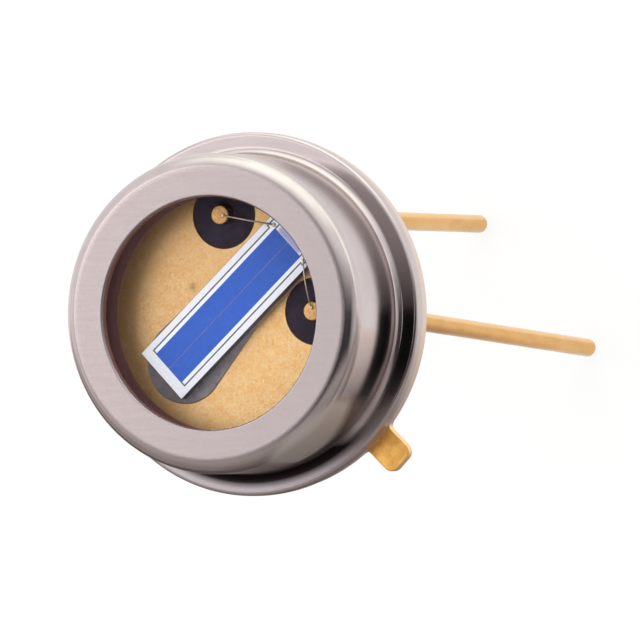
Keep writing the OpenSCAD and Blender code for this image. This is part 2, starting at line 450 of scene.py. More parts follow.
NICKEL = colour(0.58, 0.50, 0.495)
NICKEL_PALE = colour(0.63, 0.55, 0.545)
WORN = colour(0.40, 0.34, 0.34)
WORN_PALE = colour(0.44, 0.373, 0.373)
WORN_GRAIN = colour(0.37, 0.31, 0.31)
# Painted shade: face and flange top darker towards +X, flange top darker towards -Y
PAINTED_SHADE_RIGHT = colour(0.34, 0.295, 0.295)
PAINTED_LEDGE_SHADE = colour(0.30, 0.275, 0.30)
# Painted reflection on the dull stretch above the tab: brown of the tab low down, pale higher up
PAINTED_TAB_REFLECTION = colour(0.30, 0.235, 0.20)
PAINTED_PALE_REFLECTION = colour(0.82, 0.75, 0.70)
# Painted dark reflection low on the +X wall
PAINTED_BAND_DARK = colour(0.07, 0.06, 0.065)
# Painted shade on the cap's inside
PAINTED_INSIDE_SHADE = colour(0.21, 0.10, 0.078)
# Near-black painted shade for the corner between wall and flange
PAINTED_CORNER_SHADE = colour(0.015, 0.010, 0.010)
PAINTED_CORNER_SHADE_WAY = (0.139, -0.99, 0.0)
DULL_WAY = level_way(-52)
BAND_WAY = level_way(-17)
BAND_LOW_Z = 1.3
BAND_HIGH_Z = 2.0
BROWN_RISE = (0.0, -0.8, 1.0)
BROWN_FULL = 3.85
BROWN_NONE = 4.35
FACE_ROUGH = 0.34
EDGE_ROUGH = 0.36
INSIDE_ROUGH = 0.6
DULL_ROUGH = 0.58
GRAIN_DEPTH = 0.001


def cap_inside(s, here):
    """Share of the cap's inside at a place, rougher and darkened by painted shade: its bore, and the
    opening's edge below the lip.
    """
    radius, height = s.axle(here), s.axis(here, "Z")
    bore = s.both(s.below(radius, CAP_R - 0.2, CAP_R - 0.15),
                  s.below(height, FACE_Z - CAP_WALL, FACE_Z - CAP_WALL + 0.04))
    lip = s.both(s.below(radius, OPENING_R + 0.01, OPENING_R + 0.03),
                 s.below(height, FACE_Z - 0.08, FACE_Z - 0.05))
    return s.most(bore, lip)


def flange_top(s, here):
    """Share of the flange's level top."""
    low = s.below(s.axis(here, "Z"), FACE_Z - 1.0, FACE_Z - 0.9)
    return s.both(s.span(s.facing("Z"), 0.93, 0.995), low)


def dull_stretch_painted_reflection(s, here):
    """Share of the wall's dull stretch above the tab, which is rougher and carries a painted reflection.
    """
    side = s.span(s.along(here, DULL_WAY), CAP_R - 0.305, CAP_R - 0.165)
    return s.both(side, s.span(s.axis(here, "Z"), WALL_LOW_Z, WALL_LOW_Z + 0.4))


def painted_dark_band(s, here):
    """Share of the painted dark reflection, a band low on the wall on the +X side."""
    side = s.span(s.along(here, BAND_WAY), CAP_R - 0.235, CAP_R - 0.125, 0.0, 0.9)
    height = s.axis(here, "Z")
    band = s.both(s.span(height, BAND_LOW_Z - 0.15, BAND_LOW_Z + 0.1),
                  s.below(height, BAND_HIGH_Z - 0.15, BAND_HIGH_Z + 0.15))
    return s.both(side, band)


def painted_corner_shade(s, here):
    """Share of the painted shade in the corner between wall and flange, on the -Y side."""
    ring = s.below(s.axle(here), CAP_R + 0.22, CAP_R + 0.40)
    low = s.below(s.axis(here, "Z"), FLANGE_Z + 0.08, FLANGE_Z + 0.2)
    side = s.span(s.along(here, PAINTED_CORNER_SHADE_WAY), CAP_R - 0.8, CAP_R - 0.35)
    return s.both(s.both(ring, low), side)


def worn_tone_and_painted_shade(s, here, grain, ledge):
    """Tone of the face and the flange's top: streaked and grained, and darker towards +X and -Y with
    painted shade.
    """
    streak = s.noise(s.place((0.5, 7.0, 7.0)), scale=1.2)
    tone = s.mix(s.spread(streak), WORN, WORN_PALE)
    tone = s.mix(s.span(grain, 0.35, 0.65, 0.0, 0.3), tone, WORN_GRAIN)
    # painted shade, darker towards +X
    tone = s.mix(s.span(s.axis(here, "X"), -3.5, 3.5, 0.0, 0.6), tone, PAINTED_SHADE_RIGHT)
    # painted shade on the flange's top towards -Y
    shaded = s.both(ledge, s.span(s.axis(here, "Y"), -4.2, -2.5, 0.6, 0.0))
    return s.mix(shaded, tone, PAINTED_LEDGE_SHADE)


def drawn_rough(s, here):
    """Roughness of the drawn walls: smooth, and duller towards -Y and +Y."""
    height, y = s.axis(here, "Z"), s.axis(here, "Y")
    drawn = s.most(s.span(y, -3.6, -1.5, 0.30, 0.15), s.span(y, 0.5, 2.5, 0.15, 0.22))
    wall = s.below(height, FACE_Z - SHOULDER_R - 0.2, FACE_Z - SHOULDER_R)
    return s.most(drawn, s.both(wall, s.span(y, -2.6, -1.4, 0.38, 0.0)))


def nickel():
    """Satin nickel plating: a grained flat face and flange, smooth drawn walls and a dull inside darkened
    by painted shade, with painted shade and reflections on the walls and face.
    """
    s = Shader("nickel_plate")
    here = s.place()
    grain = s.noise(here, scale=16.0, detail=2.0)
    flat = s.span(s.axis(here, "Z"), FACE_Z - 0.03, FACE_Z - 0.005)
    edge = s.span(s.axle(here), FLANGE_R - 0.04, FLANGE_R - 0.01)
    ledge, inside, dull = flange_top(s, here), cap_inside(s, here), dull_stretch_painted_reflection(s, here)
    tone = s.mix(s.spread(s.noise(here, scale=1.4)), NICKEL, NICKEL_PALE)
    tone = s.mix(s.most(flat, ledge), tone, worn_tone_and_painted_shade(s, here, grain, ledge))
    rise = s.span(s.along(here, BROWN_RISE), BROWN_FULL, BROWN_NONE)
    # painted reflection of the tab, brown low down and pale higher up
    tone = s.mix(dull, tone, s.mix(rise, PAINTED_TAB_REFLECTION, PAINTED_PALE_REFLECTION))
    # painted dark reflection low on the +X wall
    tone = s.mix(painted_dark_band(s, here), tone, PAINTED_BAND_DARK)
    # painted shade on the cap's inside and below the lip
    tone = s.mix(inside, tone, PAINTED_INSIDE_SHADE)
    # painted shade in the corner between wall and flange, on the -Y side
    tone = s.mix(painted_corner_shade(s, here), tone, PAINTED_CORNER_SHADE)
    rough = s.most(s.both(flat, FACE_ROUGH), drawn_rough(s, here))
    rough = s.math("SUBTRACT", rough, s.both(ledge, 0.08))
    rough = s.math("ADD", rough, s.spread(grain, -0.02, 0.03))
    for share, level in ((edge, EDGE_ROUGH), (inside, INSIDE_ROUGH), (dull, DULL_ROUGH)):
        rough = s.most(rough, s.both(share, level))
    relief = s.bump(grain, GRAIN_DEPTH, s.span(flat, 0.0, 1.0, 0.15, 1.0))
    metal = s.span(inside, 0.0, 1.0, 1.0, 0.2)
    return s.finish(s.surface(Base_Color=tone, Metallic=metal, Roughness=rough, Normal=relief))


# Gold of the header and the leads

GOLD = colour(1.0, 0.59, 0.26)
GOLD_PALE = colour(1.0, 0.64, 0.31)
GOLD_MOTTLE = colour(0.94, 0.47, 0.16)
GOLD_GRAIN = colour(0.88, 0.41, 0.12)
GOLD_BRIGHT = colour(1.0, 0.78, 0.44)
GOLD_SPARK = colour(1.0, 0.78, 0.42)
# Painted shade across the floor, darker towards -X and +Y
PAINTED_FLOOR_SHADE = colour(0.62, 0.35, 0.16)
GOLD_RIM = colour(0.72, 0.60, 0.50)
PAINTED_LIGHT_WAY = (0.6, -0.8, 0.0)
# Painted shade on the platform's edge under the cap
PAINTED_RING_SHADE = colour(0.27, 0.13, 0.125)
RING_SHADE_R = 3.05
STAIN = colour(0.30, 0.12, 0.05)
STAIN_PLACE = (-0.92, 0.70, FLOOR_Z)
STAIN_R = 0.16
SAND_DEPTH = 0.005
TAB_GOLD = colour(1.0, 0.55, 0.15)
TAB_DEEP = colour(0.80, 0.40, 0.09)
# Painted highlight on the tab's rounded edges
PAINTED_TAB_HIGHLIGHT = colour(1.0, 0.75, 0.45)
TAB_LOW_R = 4.0
TAB_HIGH_R = 4.3
LEAD_GOLD = colour(0.68, 0.36, 0.098)
LEAD_PALE = colour(0.75, 0.415, 0.13)
LEAD_DRAWN = colour(0.60, 0.29, 0.07)
LEAD_SPARK = colour(0.98, 0.60, 0.23)
# Painted highlight and shade for the leads' +Y and -Y sides
PAINTED_LEAD_HIGHLIGHT = colour(0.94, 0.58, 0.23)
PAINTED_LEAD_SHADE = colour(0.52, 0.33, 0.13)
LEAD_SAND = colour(1.0, 0.62, 0.27)
LEAD_SAND_DEEP = colour(0.80, 0.40, 0.13)
DRAWN_DEPTH = 0.0005


def sandy_tone(s, here, grain, fine):
    """Clouded gold with a sandy grain, and painted shade that leaves it brighter towards +X and -Y."""
    mottle = s.noise(here, scale=3.2, detail=4.0, rough=0.6)
    bright = s.noise(here, scale=7.0, detail=2.0)
    tone = s.mix(s.spread(s.noise(here, scale=0.9)), GOLD, GOLD_PALE)
    tone = s.mix(s.span(mottle, 0.46, 0.64, 0.0, 0.6), tone, GOLD_MOTTLE)
    tone = s.mix(s.span(grain, 0.50, 0.70, 0.0, 0.45), tone, GOLD_GRAIN)
    tone = s.mix(s.span(bright, 0.52, 0.66, 0.0, 0.32), tone, GOLD_BRIGHT)
    tone = s.mix(s.span(fine, 0.53, 0.70, 0.0, 0.9), tone, GOLD_SPARK)
    # painted shade, darker towards -X and +Y
    return s.mix(s.span(s.along(here, PAINTED_LIGHT_WAY), -2.2, 1.2, 0.38, 0.0), tone, PAINTED_FLOOR_SHADE)


def tab_tone(s, here):
    """Deep mottled gold, with a painted highlight that makes the rounded edges paler."""
    mottle = s.noise(here, scale=4.0, rough=0.6)
    tone = s.mix(s.span(mottle, 0.38, 0.66), TAB_GOLD, TAB_DEEP)
    # painted highlight on the rounded edges
    return s.mix(s.span(s.facing("Z"), 0.35, 0.95, 0.6, 0.0), tone, PAINTED_TAB_HIGHLIGHT)


def stain(s, here):
    """Share of the brown stain at a place."""
    away = s.vector("DISTANCE", here, STAIN_PLACE)["Value"]
    edge = s.math("ADD", away, s.spread(s.noise(here, scale=12.0), -0.05, 0.05))
    return s.span(edge, STAIN_R * 0.2, STAIN_R, 0.45, 0.0)


def gold_floor():
    """Satin gold plating with a sandy grain, painted shade on a ring under the cap and one small brown
    stain.
    """
    s = Shader("gold_floor")
    here = s.place()
    radius = s.axle(here)
    grain = s.noise(here, scale=13.0, rough=0.6)
    fine = s.noise(here, scale=38.0, detail=2.0)
    rim = s.both(s.span(radius, HEADER_R - 0.05, HEADER_R - 0.02),
                 s.below(radius, HEADER_R + 0.01, HEADER_R + 0.05))
    ring_shade_share = s.both(s.span(radius, RING_SHADE_R - 0.03, RING_SHADE_R + 0.03),
                     s.span(s.axis(here, "Z"), CAP_Z + 0.1, CAP_Z + 0.3))
    # painted shade on the ring under the cap
    tone = s.mix(ring_shade_share, sandy_tone(s, here, grain, fine), PAINTED_RING_SHADE)
    tone = s.mix(s.span(radius, TAB_LOW_R, TAB_HIGH_R), tone, tab_tone(s, here))
    tone = s.mix(rim, tone, GOLD_RIM)
    tone = s.mix(stain(s, here), tone, STAIN)
    metal = s.span(ring_shade_share, 0.0, 1.0, 0.85, 0.3)
    rough = s.spread(grain, 0.30, 0.44)
    relief = s.bump(s.math("ADD", grain, s.both(fine, 0.6)), SAND_DEPTH)
    return s.finish(s.surface(Base_Color=tone, Metallic=metal, Roughness=rough, Normal=relief))


def lead_tone(s, here, drawn):
    """Gold with marks along the wire, with a painted highlight on its +Y side and painted shade on its -Y
    side.
    """
    spark = s.noise(s.place((1.0, 1.0, 0.6)), scale=2.2, detail=2.0)
    side = s.facing("Y")
    tone = s.mix(s.spread(s.noise(here, scale=1.1)), LEAD_GOLD, LEAD_PALE)
    tone = s.mix(s.span(drawn, 0.45, 0.7, 0.0, 0.2), tone, LEAD_DRAWN)
    tone = s.mix(s.span(spark, 0.40, 0.68, 0.0, 0.2), tone, LEAD_SPARK)
    # painted highlight on the +Y side
    tone = s.mix(s.span(side, 0.30, 0.55, 0.0, 0.8), tone, PAINTED_LEAD_HIGHLIGHT)
    # painted shade on the -Y side
    return s.mix(s.span(side, -0.85, -0.45, 0.6, 0.0), tone, PAINTED_LEAD_SHADE)


def gold_wire():
    """Drawn gold-plated wire, with faint marks along its length and a sandy top."""
    s = Shader("gold_wire")
    here = s.place()
    drawn = s.noise(s.place((3.0, 3.0, 0.6)), scale=1.6)
    top = s.span(s.axis(here, "Z"), LEAD_TOP_Z - 0.1, LEAD_TOP_Z - 0.02)
    sand = s.mix(s.span(s.noise(here, scale=16.0), 0.35, 0.65), LEAD_SAND, LEAD_SAND_DEEP)
    tone = s.mix(top, lead_tone(s, here, drawn), sand)
    rough = s.most(s.spread(drawn, 0.20, 0.32), s.both(top, 0.5))
    metal = s.span(top, 0.0, 1.0, 1.0, 0.75)
    relief = s.bump(drawn, DRAWN_DEPTH)
    return s.finish(s.surface(Base_Color=tone, Metallic=metal, Roughness=rough, Normal=relief))


# Glass

GLASS_IOR = 1.5
GLASS = colour(0.98, 0.99, 0.99)
GLASS_THROUGH = colour(0.96, 0.965, 0.965)
SEAL_DARK = colour(0.036, 0.024, 0.042)
SEAL_CLOUD = colour(0.052, 0.036, 0.062)
SEAL_EDGE = colour(0.085, 0.038, 0.020)
SEAL_SHINE = 0.1
SEAL_DEPTH = 0.004


def clear_glass():
    """Window glass that lets lamps through to the chip."""
    s = Shader("clear_glass")
    shader = s.surface(Base_Color=GLASS, Roughness=0.0, IOR=GLASS_IOR, Transmission_Weight=1.0)
    through = s.node("ShaderNodeBsdfTransparent", Color=GLASS_THROUGH).outputs["BSDF"]
    rays = s.node("ShaderNodeLightPath").outputs
    for kind in ("Is Glossy Ray", "Is Diffuse Ray", "Is Shadow Ray"):
        shader = s.layers(rays[kind], shader, through)
    return s.finish(shader)


def seal_glass():
    """Dark violet sealing glass with faint clouds and a brown edge."""
    s = Shader("seal_glass")
    here = s.place()
    cloud = s.noise(here, scale=3.0)
    away = [s.axle(s.moved(here, (*lead, 0.0))) for lead in (TOP_LEAD, RIGHT_LEAD)]
    edge = s.span(s.math("MINIMUM", *away), SEAL_R - 0.1, SEAL_R, 0.0, 0.7)
    tone = s.mix(s.span(cloud, 0.35, 0.7), SEAL_DARK, SEAL_CLOUD)
    tone = s.mix(edge, tone, SEAL_EDGE)
    rough = s.spread(s.noise(here, scale=12.0), 0.30, 0.42)
    shader = s.surface(Base_Color=tone, Roughness=rough, IOR=GLASS_IOR, Specular_IOR_Level=SEAL_SHINE,
                       Normal=s.bump(cloud, SEAL_DEPTH))
    return s.finish(shader)


# Chip, its bed and its wires

SILICON = colour(0.10, 0.095, 0.11)
SILICON_PALE = colour(0.17, 0.16, 0.18)
SAW_DEPTH = 0.002
GAP_VIOLET = colour(0.36, 0.33, 0.70)
FRAME_DIM = colour(0.90, 0.89, 1.0)
FRAME_PALE = colour(0.97, 0.96, 1.0)
# Painted shade on the frame past the elements' end, under the cap's edge
PAINTED_FRAME_SHADE = colour(0.45, 0.42, 0.68)
BLUE = colour(0.030, 0.118, 0.58)
BLUE_PALE = colour(0.038, 0.135, 0.62)
CONTACT = colour(0.90, 0.91, 1.0)
CONTACT_PALE = colour(0.97, 0.97, 1.0)
FILM_DEPTH = 0.0003
EPOXY = colour(0.22, 0.19, 0.215)
EPOXY_PALE = colour(0.36, 0.32, 0.35)
EPOXY_FLAKE = colour(0.48, 0.46, 0.47)
# Painted light on the epoxy's low edge
PAINTED_EPOXY_EDGE = colour(0.60, 0.42, 0.26)
EPOXY_DEPTH = 0.012
BOND = colour(0.84, 0.70, 0.48)
BOND_PALE = colour(0.92, 0.80, 0.60)


def silicon():
    """Sawn silicon, dark on its face with a pale line between the two elements."""
    s = Shader("silicon")
    saw = s.noise(s.place((1.0, 1.0, 14.0)), scale=3.0)
    middle = s.math("ABSOLUTE", s.axis(s.on_chip(), "Y"))
    tone = s.mix(s.spread(saw), SILICON, SILICON_PALE)
    tone = s.mix(s.math("LESS_THAN", middle, ELEMENT_GAP), tone, GAP_VIOLET)
    rough = s.spread(saw, 0.30, 0.45)
    return s.finish(s.surface(Base_Color=tone, Roughness=rough, Normal=s.bump(saw, SAW_DEPTH)))


def past_elements(s, chip):
    """Share of the stretch just past the elements' upper end, where the frame gets painted shade."""
    middle = s.below(s.math("ABSOLUTE", s.axis(chip, "Y")), 0.36, 0.46)
    past = s.span(s.axis(chip, "X"), ELEMENT_L / 2 - 0.01, ELEMENT_L / 2 + 0.03)
    return s.both(middle, past)


def chip_film(name, dark, light, rough, metal, shine=0.5, end=None):
    """A thin mottled layer on the chip's face, which may have a painted shade tone past the elements' end.
    """
    s = Shader(name)
    chip = s.on_chip()
    mottle = s.noise(chip, scale=9.0)
    cloud = s.noise(chip, scale=0.7)
    tone = s.mix(s.spread(mottle), dark, light)
    tone = s.mix(s.spread(cloud, 0.0, 0.3), tone, dark)
    if end:
        # painted shade past the elements' upper end
        tone = s.mix(past_elements(s, chip), tone, end)
    satin = s.spread(mottle, rough, rough + 0.05)
    shader = s.surface(Base_Color=tone, Metallic=metal, Roughness=satin, Specular_IOR_Level=shine,
                       Normal=s.bump(mottle, FILM_DEPTH))
    return s.finish(shader)


def silver_epoxy():
    """Grey silver-filled epoxy with small bright flakes, and a gold-brown painted light on its low edge.
    """
    s = Shader("silver_epoxy")
    here = s.place()
    lumps = s.noise(here, scale=4.0)
    flakes = s.noise(here, scale=45.0, detail=1.0)
    painted_edge_share = s.span(s.axis(here, "Z"), FLOOR_Z + 0.02, ATTACH_HIGH.z - 0.002, 0.8, 0.0)
    tone = s.mix(s.spread(lumps), EPOXY, EPOXY_PALE)
    tone = s.mix(s.span(flakes, 0.62, 0.75, 0.0, 0.5), tone, EPOXY_FLAKE)
    # painted light on the low edge, which softens its shaded outline
    tone = s.mix(painted_edge_share, tone, PAINTED_EPOXY_EDGE)
    rough = s.spread(lumps, 0.38, 0.55)
    return s.finish(s.surface(Base_Color=tone, Roughness=rough, Normal=s.bump(lumps, EPOXY_DEPTH)))


def bond_wire():
    """Fine bright wire."""
    s = Shader("bond_wire")
    drawn = s.noise(s.place(), scale=20.0)
    tone = s.mix(s.spread(drawn), BOND, BOND_PALE)
    return s.finish(s.surface(Base_Color=tone, Metallic=1.0, Roughness=s.spread(drawn, 0.35, 0.5)))


# Pieces of the can

def cap_profile():
    """Section of the cap from its opening over the shoulder and flange, and back up its inside."""
    inner_r = CAP_R - CAP_WALL
    inner_z = FACE_Z - CAP_WALL
    inner_round = SHOULDER_R - CAP_WALL
    start = [(OPENING_R, inner_z)]
    lip = arc((OPENING_R + OPENING_ROUND, FACE_Z - OPENING_ROUND), OPENING_ROUND, 180, 90, SMALL_ARC_STEPS)
    shoulder = arc((CAP_R - SHOULDER_R, FACE_Z - SHOULDER_R), SHOULDER_R, 90, 0, 2 * ARC_STEPS)
    fillet = arc((CAP_R + FLANGE_FILLET, WALL_LOW_Z), FLANGE_FILLET, 180, 270)
    rim = arc((FLANGE_R - FLANGE_ROUND, FLANGE_Z - FLANGE_ROUND), FLANGE_ROUND, 90, 0)
    under = arc((FLANGE_R - EDGE_ROUND, CAP_Z + EDGE_ROUND), EDGE_ROUND, 0, -90, EDGE_STEPS)
    mouth = [(inner_r, CAP_Z)]
    inside = arc((inner_r - inner_round, inner_z - inner_round), inner_round, 0, 90)
    return smooth_run([start, lip, shoulder, fillet, rim, under, mouth, inside])


def make_cap(material):
    mesh = to_mesh("cap_shell", lathe(cap_profile(), loop=True))
    return piece("cap_shell", mesh, material, "nickel_plate", "cap")


def make_window(material):
    """Glass disc, a hair clear of the metal above it."""
    profile = arc((WINDOW_R - WINDOW_ROUND, WINDOW_LOW.z + WINDOW_ROUND), WINDOW_ROUND, -90, 0)
    profile += [(WINDOW_R, WINDOW_HIGH.z - WINDOW_GAP)]
    mesh = to_mesh("window_disc", lathe(profile))
    return piece("window_disc", mesh, material, "clear_glass", "window")


# Header

def tab_outline(inset):
    """Outline of the tab and its root in the flange, moved in by inset, with the tab along X."""
    half, end = TAB_W / 2, HEADER_R + TAB_L
    root_y = half + TAB_ROOT
    root_x = math.sqrt((HEADER_R + TAB_ROOT) ** 2 - root_y ** 2)
    meet = math.degrees(math.atan2(root_y, root_x))
    touch_y = HEADER_R * math.sin(math.radians(meet))
    corner_x, corner_y = end - TAB_ROUND, half - TAB_ROUND
    points = [(HEADER_R - TAB_W, touch_y), (HEADER_R - TAB_W, -touch_y)]
    points += arc((root_x, -root_y), TAB_ROOT + inset, 180 - meet, 90)
    points += arc((corner_x, -corner_y), TAB_ROUND - inset, -90, 0)
    points += arc((corner_x, corner_y), TAB_ROUND - inset, 0, 90)
    points += arc((root_x, root_y), TAB_ROOT + inset, 270, 180 + meet)
    return points


def tab():
    """Locating tab with softly rounded edges."""
    turn = Matrix.Rotation(TAB_ANGLE, 4, "Z")
    levels = arc((0, EDGE_ROUND), EDGE_ROUND, -90, 0, EDGE_STEPS)
    levels += arc((0, TAB_T - EDGE_ROUND), EDGE_ROUND, 0, 90, EDGE_STEPS)
    rings = []
    for out, z in levels:
        rings.append([turn @ Vector((x, y, z)) for x, y in tab_outline(EDGE_ROUND - out)])
    return skin(rings)


def header_flange():
    """Round flange, more rounded below than above."""
    lower = arc((HEADER_R - HEADER_ROUND, HEADER_ROUND), HEADER_ROUND, -90, 0)
    upper = arc((HEADER_R - EDGE_ROUND, CAP_Z - EDGE_ROUND), EDGE_ROUND, 0, 90, EDGE_STEPS)
    return lathe(smooth_run([lower, upper]))


def platform():
    """Raised middle with a well rounded edge."""
    edge = (PLATFORM_R - PLATFORM_ROUND, FLOOR_Z - PLATFORM_ROUND)
    return lathe([(PLATFORM_R, PLATFORM_ROOT_Z)] + arc(edge, PLATFORM_ROUND, 0, 90, 2 * ARC_STEPS))


def hole(centre, radius, high):
    """A round cutter from below the header up to a height."""
    return lathe([(radius, -CUT_OVER), (radius, high)], SMALL_TURN_STEPS, place=centre)


def make_header(material):
    """Flange, tab and platform in one piece, with the lead holes and the weld recess cut out."""
    holes = [hole(lead, SEAL_R, FLOOR_Z + CUT_OVER) for lead in (TOP_LEAD, RIGHT_LEAD)]
    holes.append(hole(CASE_LEAD, LEAD_R + WELD_FILLET + WELD_CLEARANCE, WELD_RECESS))
    steps = [("UNION", tab()), ("UNION", platform()), ("DIFFERENCE", joined(holes))]
    mesh = combine("header_base", header_flange(), steps)
    return piece("header_base", mesh, material, "gold_plate", "header")


# Leads and seals

def make_seal(name, node, centre, material):
    """Glass ring, drawn up round its lead on top."""
    low, high = SEAL_LOW.z, FLOOR_Z - SEAL_RECESS
    profile = [(LEAD_R, low), (SEAL_R, low), (SEAL_R, high)]
    profile += arc((LEAD_R + SEAL_MENISCUS, high + SEAL_MENISCUS), SEAL_MENISCUS, 270, 180)
    mesh = to_mesh(name, lathe(profile, SMALL_TURN_STEPS, True, centre))
    return piece(name, mesh, material, "seal_glass", node)


def rod(path, side):
    """A lead along a path from its top to its tip, with both ends rounded."""
    first, last = (path[0] - path[1]).normalized(), (path[-1] - path[-2]).normalized()
    top = arc((LEAD_R - LEAD_TOP_ROUND, LEAD_TOP_ROUND), LEAD_TOP_ROUND, -90, 0, SMALL_ARC_STEPS)
    tip = arc((LEAD_R - LEAD_ROUND, LEAD_ROUND), LEAD_ROUND, 0, -90)
    points = [path[0] - first * depth for _, depth in top]
    points += path[1:-1]
    points += [path[-1] - last * depth for _, depth in tip]
    radii = [radius for radius, _ in top]
    radii += [LEAD_R] * (len(path) - 2)
    radii += [radius for radius, _ in tip]
    return sweep(points, radii, side, LEAD_STEPS)


def straight_path(centre, top, tip):
    return [Vector((*centre, z)) for z in (top, top - LEAD_R, tip + LEAD_R, tip)]


def leaning_path(centre):
    """Down through the header, round a small bend, and on at a lean to the free end."""
    out = Vector((math.cos(LEAN_HEADING), math.sin(LEAN_HEADING), 0))
    start = Vector((*centre, -BEND_DROP))
    points = [Vector((*centre, z)) for z in (LEAD_TOP_Z, LEAD_TOP_Z - LEAD_R, 0)]
    for i in range(ARC_STEPS + 1):
        a = LEAN * i / ARC_STEPS
        points.append(start + out * BEND_R * (1 - math.cos(a)) + Vector((0, 0, -BEND_R * math.sin(a))))
    along = out * math.sin(LEAN) + Vector((0, 0, -math.cos(LEAN)))
    rest = -LEAD_TIP_Z - BEND_DROP - BEND_R * LEAN
    bend_end = points[-1]
    points += [bend_end + along * (rest - LEAD_R), bend_end + along * rest]
    return points


def case_profile():
    """Section of the case lead, with its weld fillet at the top."""
    weld = arc((LEAD_R + WELD_FILLET, WELD_RECESS - WELD_FILLET), WELD_FILLET, 90, 180)
    return weld + arc((LEAD_R - LEAD_ROUND, CASE_LOW.z + LEAD_ROUND), LEAD_ROUND, 0, -90)


def make_leads(material):
    across = Vector((-math.sin(LEAN_HEADING), math.cos(LEAN_HEADING), 0))
    top = rod(straight_path(TOP_LEAD, LEAD_TOP_Z, LEAD_TIP_Z), Vector((1, 0, 0)))
    piece("top_lead_wire", to_mesh("top_lead_wire", top), material, "gold_plate", "top_lead")
    right = rod(leaning_path(RIGHT_LEAD), across)
    piece("right_lead_wire", to_mesh("right_lead_wire", right), material, "gold_plate", "right_lead")
    case = lathe(case_profile(), LEAD_STEPS, place=CASE_LEAD)
    piece("case_lead_wire", to_mesh("case_lead_wire", case), material, "gold_plate", "case_lead")


# Bond wires

def chip_point(along, across, z):
    """A point of the part, given along and across the chip."""
    turn = Matrix.Rotation(CHIP_TURN, 4, "Z")
    return CHIP_CENTRE + turn @ Vector((along, across, 0)) + Vector((0, 0, z))


def foot(point):
    """A bond squashed flat, with a round edge."""
    edge = (FOOT_R - FOOT_ROUND, point.z + FOOT_H - FOOT_ROUND)
    profile = [(FOOT_R, point.z)] + arc(edge, FOOT_ROUND, 0, 90, SMALL_ARC_STEPS)
    return lathe(profile, FOOT_STEPS, place=(point.x, point.y))


def arch(start, end):
    """A wire on a flat arc between two feet."""
    chord = end - start
    along = chord.normalized()
    up = (Vector((0, 0, 1)) - along * along.z).normalized()
    radius = (chord.length ** 2 / 4 + WIRE_RISE ** 2) / (2 * WIRE_RISE)
    half = math.asin(chord.length / 2 / radius)
    lift = Vector((0, 0, FOOT_H / 2))
    centre = (start + end) / 2 + lift + up * (WIRE_RISE - radius)
    turns = [half * (i / ARC_STEPS - 1) for i in range(2 * ARC_STEPS + 1)]
    path = [centre + radius * (math.sin(a) * along + math.cos(a) * up) for a in turns]
    return sweep(path, [WIRE_R] * len(path), along.cross(up), WIRE_STEPS)


def make_wire(name, node, lead, side, material):
    """A bond wire from a lead's top to a bond pad."""
    pad = chip_point(PAD_ALONG, side * PAD_ACROSS, CHIP_FACE_Z)
    flat = Vector((pad.x - lead[0], pad.y - lead[1], 0)).normalized()
    start = Vector((*lead, LEAD_TOP_Z)) + flat * FOOT_OFFSET
    mesh = to_mesh(name, joined([arch(start, pad), foot(start), foot(pad)]))
    return piece(name, mesh, material, "bond_wire", node)


# The part

def dress(node, material):
    """Gives a CAD node its finished material."""
    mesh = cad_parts[node].data
    mesh.materials.clear()
    mesh.materials.append(material)


def dress_chip():
    dress("die", silicon())
    dress("die_attach", silver_epoxy())
    # the frame film has painted shade past the elements' end
    pale = chip_film("frame_film", FRAME_DIM, FRAME_PALE, rough=0.38, metal=0.5, end=PAINTED_FRAME_SHADE)
    dress("guard_frame", pale)
    blue = chip_film("element_film", BLUE, BLUE_PALE, rough=0.30, metal=0.0, shine=0.3)
    bright = chip_film("contact_film", CONTACT, CONTACT_PALE, rough=0.30, metal=0.5)
    for side in ("left", "right"):
        dress(side + "_element", blue)
        dress(side + "_contact", bright)


def make_part():
    glass, thread = seal_glass(), bond_wire()
    make_cap(nickel())
    make_window(clear_glass())
    make_header(gold_floor())
    make_seal("top_seal_ring", "top_seal", TOP_LEAD, glass)
    make_seal("right_seal_ring", "right_seal", RIGHT_LEAD, glass)
    make_leads(gold_wire())
    make_wire("left_bond_wire", "left_wire", TOP_LEAD, 1, thread)
    make_wire("right_bond_wire", "right_wire", RIGHT_LEAD, -1, thread)
    dress_chip()


# Stage

FLOOR_R = 400.0
FLOOR_DROP = 0.05
FLOOR_GLOW = 0.8
FLOOR_TONE = colour(0.86, 0.86, 0.86)
WORLD_LIGHT = 1.05
WHITE = colour(1.0, 1.0, 1.0)
WARM = colour(1.0, 0.90, 0.85)
CREAM = colour(0.93, 1.0, 0.93)
TENT_R = 600.0
TENT_AZIMUTHS = range(0, 361, 6)
TENT_ELEVATIONS = range(-2, 90, 4)
CLOTH_RISE = 0.3
CLOTH_R = 420.0
SHADE_EDGE_Y = -2.0
SWEEP_EDGE_X = -60.0
SWEEP_EDGE_Y = 20.0
FLAG_AZIMUTH = 177.7
FLAG_ELEVATION = 66.3
FLAG_DISTANCE = 120.0
FLAG_R = 5.4
FLAG_LEVEL = 0.05
KEY_SIZE = 0.36
KEY_POWER = 0.62
KEY_GLOW = 0.85
GLOW_WAY = Vector((0.1, 0.97, 0.18)).normalized()
KEY_PLACE = Vector((0.02, 0.25, 0.03))
TOP_SIZE = 0.18
TOP_POWER = 0.105
TOP_PLACE = Vector((-0.1385, 0.0371, 0.2048))


